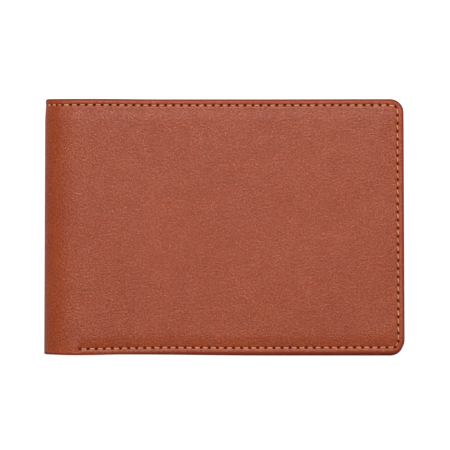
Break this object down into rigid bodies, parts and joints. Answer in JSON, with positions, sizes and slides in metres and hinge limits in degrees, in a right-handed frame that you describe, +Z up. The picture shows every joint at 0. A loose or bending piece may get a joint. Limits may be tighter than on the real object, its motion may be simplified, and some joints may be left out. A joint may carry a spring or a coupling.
{
  "type": "bifold wallet",
  "caption": "Slim leather bifold wallet that opens flat, with a full-width bill compartment, slip pockets and stepped card pockets in each half.",
  "frame": {"origin": "on the table under the middle of the closed wallet", "axes": "+X from the fold to the free edge, +Y from the bottom edge to the mouth of the bill compartment, +Z up through the closed wallet, from the rear half to the front half"},
  "size_m": [0.116, 0.0826, 0.0112],
  "materials": {
    "tan_leather": "smooth fine-grained tan leather with a soft satin sheen and dark burnished edges",
    "lining_cloth": "dark brown twill lining cloth",
    "thread": "light orange-tan waxed thread"
  },
  "bodies": {
    "rear_half": {"rear_card_pocket_1": "tan_leather", "rear_card_pocket_2": "tan_leather", "rear_card_pocket_3": "tan_leather", "rear_cover": "tan_leather", "rear_edge_thread": "thread", "rear_inner_wall": "tan_leather", "rear_lining": "lining_cloth", "rear_rim_thread": "thread", "rear_slip_panel": "tan_leather", "rear_stack_thread": "thread", "rear_wall_lining": "lining_cloth", "rear_wall_thread": "thread"},
    "fold_strip": {"fold_cover": "tan_leather", "fold_inner_wall": "tan_leather", "fold_lining": "lining_cloth", "fold_rim_thread": "thread", "fold_wall_lining": "lining_cloth"},
    "front_half": {"front_card_pocket_1": "tan_leather", "front_card_pocket_2": "tan_leather", "front_card_pocket_3": "tan_leather", "front_cover": "tan_leather", "front_edge_thread": "thread", "front_inner_wall": "tan_leather", "front_lining": "lining_cloth", "front_rim_thread": "thread", "front_slip_panel": "tan_leather", "front_stack_thread": "thread", "front_wall_lining": "lining_cloth", "front_wall_thread": "thread"}
  },
  "joints": [
    {"name": "spine_fold", "type": "hinge", "parent": "rear_half", "child": "fold_strip", "pos_m": [-0.0568, 0, 0.0012], "axis": [0, -1, 0], "range_deg": [0, 90]},
    {"name": "front_fold", "type": "hinge", "parent": "fold_strip", "child": "front_half", "pos_m": [-0.0568, 0, 0.01], "axis": [0, -1, 0], "range_deg": [0, 90]}
  ],
  "couplings": [
    {"joint": "front_fold", "follows": "spine_fold", "ratio": 1}
  ]
}
